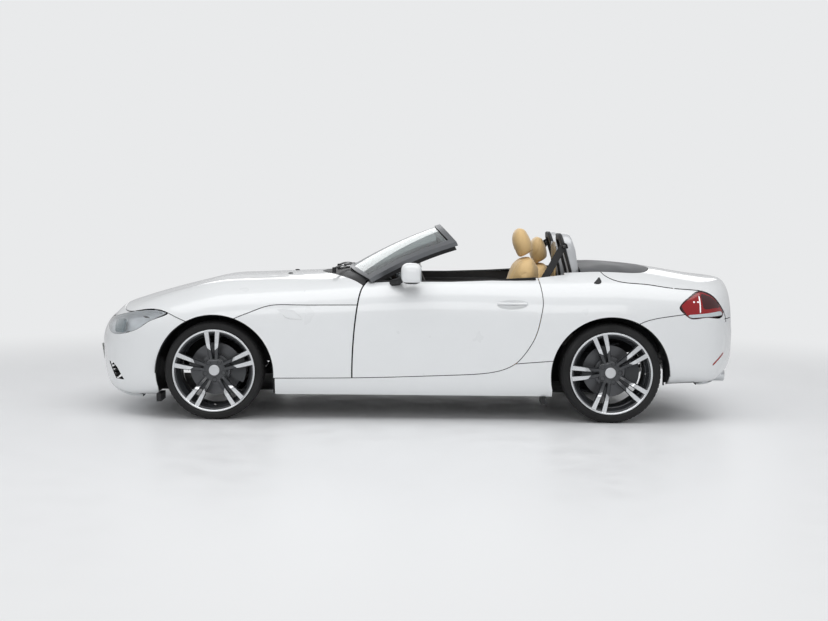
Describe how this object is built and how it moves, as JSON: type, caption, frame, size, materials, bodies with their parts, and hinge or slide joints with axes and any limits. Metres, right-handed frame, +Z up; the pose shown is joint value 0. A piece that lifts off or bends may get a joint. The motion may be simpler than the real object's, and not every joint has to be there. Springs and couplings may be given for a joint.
{
  "type": "roadster convertible",
  "caption": "Two-seat roadster with its roof stowed: opening doors, bonnet and boot lid, steered front wheels and four rolling wheels.",
  "frame": {"origin": "on the ground under the middle of the body's box", "axes": "+X to the tail, +Y to the car's right-hand side, +Z up"},
  "size_m": [4.239, 1.946, 1.2329],
  "materials": {
    "body_paint": "gloss",
    "underbody": "satin",
    "black_plastic": "matte",
    "satin_frame": "satin",
    "clear_glass": "clear",
    "clear_panel": "clear",
    "red_lens": "gloss",
    "steel": "satin",
    "gloss_black": "gloss",
    "interior": "grained",
    "wheel_leather": "smooth",
    "seat_leather": "grained",
    "belt_webbing": "woven",
    "cast_metal": "rough",
    "rim_metal": "machined",
    "tyre": "matte",
    "brake_disc": "ground"
  },
  "bodies": {
    "body": {"body_tub": "underbody", "boot_tub": "underbody", "front_structure": "underbody", "front_bumper": "body_paint", "front_fenders": "body_paint", "sills": "body_paint", "rear_quarters": "body_paint", "rear_bumper": "body_paint", "windscreen_frame": "satin_frame", "windscreen": "clear_glass", "cowl": "black_plastic", "wipers": "black_plastic", "headlamps": "clear_glass", "tail_lamps": "red_lens", "grille": "black_plastic", "exhaust": "steel", "tonneau_panel": "gloss_black", "roll_hoops": "gloss_black", "wind_deflector": "clear_panel", "dashboard": "interior", "seats": "seat_leather", "seat_belts": "belt_webbing", "engine_block": "cast_metal", "underbody_liners": "black_plastic", "front_suspension": "cast_metal", "rear_suspension": "cast_metal", "driveline": "cast_metal"},
    "door_left": {"door_left": "body_paint", "mirror_left": "body_paint"},
    "door_right": {"door_right": "body_paint", "mirror_right": "body_paint"},
    "bonnet": {"bonnet": "body_paint"},
    "boot_lid": {"boot_lid": "body_paint"},
    "steering_wheel": {"steering_wheel": "wheel_leather"},
    "knuckle_left": {"knuckle_left": "cast_metal"},
    "knuckle_right": {"knuckle_right": "cast_metal"},
    "wheel_front_left": {"wheel_front_left": "rim_metal", "tyre_front_left": "tyre", "disc_front_left": "brake_disc"},
    "wheel_front_right": {"wheel_front_right": "rim_metal", "tyre_front_right": "tyre", "disc_front_right": "brake_disc"},
    "wheel_rear_left": {"wheel_rear_left": "rim_metal", "tyre_rear_left": "tyre", "disc_rear_left": "brake_disc"},
    "wheel_rear_right": {"wheel_rear_right": "rim_metal", "tyre_rear_right": "tyre", "disc_rear_right": "brake_disc"}
  },
  "joints": [
    {"name": "door_left_hinge", "type": "hinge", "parent": "body", "child": "door_left", "pos_m": [-0.33, -0.832, 0.53], "axis": [0, 0, -1], "range_deg": [0, 65]},
    {"name": "door_right_hinge", "type": "hinge", "parent": "body", "child": "door_right", "pos_m": [-0.33, 0.832, 0.53], "axis": [0, 0, 1], "range_deg": [0, 65]},
    {"name": "bonnet_hinge", "type": "hinge", "parent": "body", "child": "bonnet", "pos_m": [-0.345, 0, 0.89], "axis": [0, 1, 0], "range_deg": [0, 45]},
    {"name": "boot_lid_hinge", "type": "hinge", "parent": "body", "child": "boot_lid", "pos_m": [1.165, 0, 0.96], "axis": [0, -1, 0], "range_deg": [0, 70]},
    {"name": "steer_left", "type": "hinge", "parent": "body", "child": "knuckle_left", "pos_m": [-1.2815, -0.68, 0.31], "axis": [0, 0, 1], "range_deg": [-35, 35]},
    {"name": "steer_right", "type": "hinge", "parent": "body", "child": "knuckle_right", "pos_m": [-1.2815, 0.68, 0.31], "axis": [0, 0, 1], "range_deg": [-35, 35]},
    {"name": "steering_wheel_turn", "type": "hinge", "parent": "body", "child": "steering_wheel", "pos_m": [0.06, -0.37, 0.8], "axis": [0.9063, 0, 0.4226], "range_deg": [-490, 490]},
    {"name": "roll_front_left", "type": "hinge", "parent": "knuckle_left", "child": "wheel_front_left", "pos_m": [-1.2815, -0.757, 0.31], "axis": [0, 1, 0], "continuous": true},
    {"name": "roll_front_right", "type": "hinge", "parent": "knuckle_right", "child": "wheel_front_right", "pos_m": [-1.2815, 0.757, 0.31], "axis": [0, 1, 0], "continuous": true},
    {"name": "roll_rear_left", "type": "hinge", "parent": "body", "child": "wheel_rear_left", "pos_m": [1.2145, -0.76, 0.314], "axis": [0, 1, 0], "continuous": true},
    {"name": "roll_rear_right", "type": "hinge", "parent": "body", "child": "wheel_rear_right", "pos_m": [1.2145, 0.76, 0.314], "axis": [0, 1, 0], "continuous": true}
  ],
  "couplings": [
    {"joint": "steer_right", "follows": "steer_left", "ratio": 1},
    {"joint": "steering_wheel_turn", "follows": "steer_left", "ratio": 14}
  ]
}
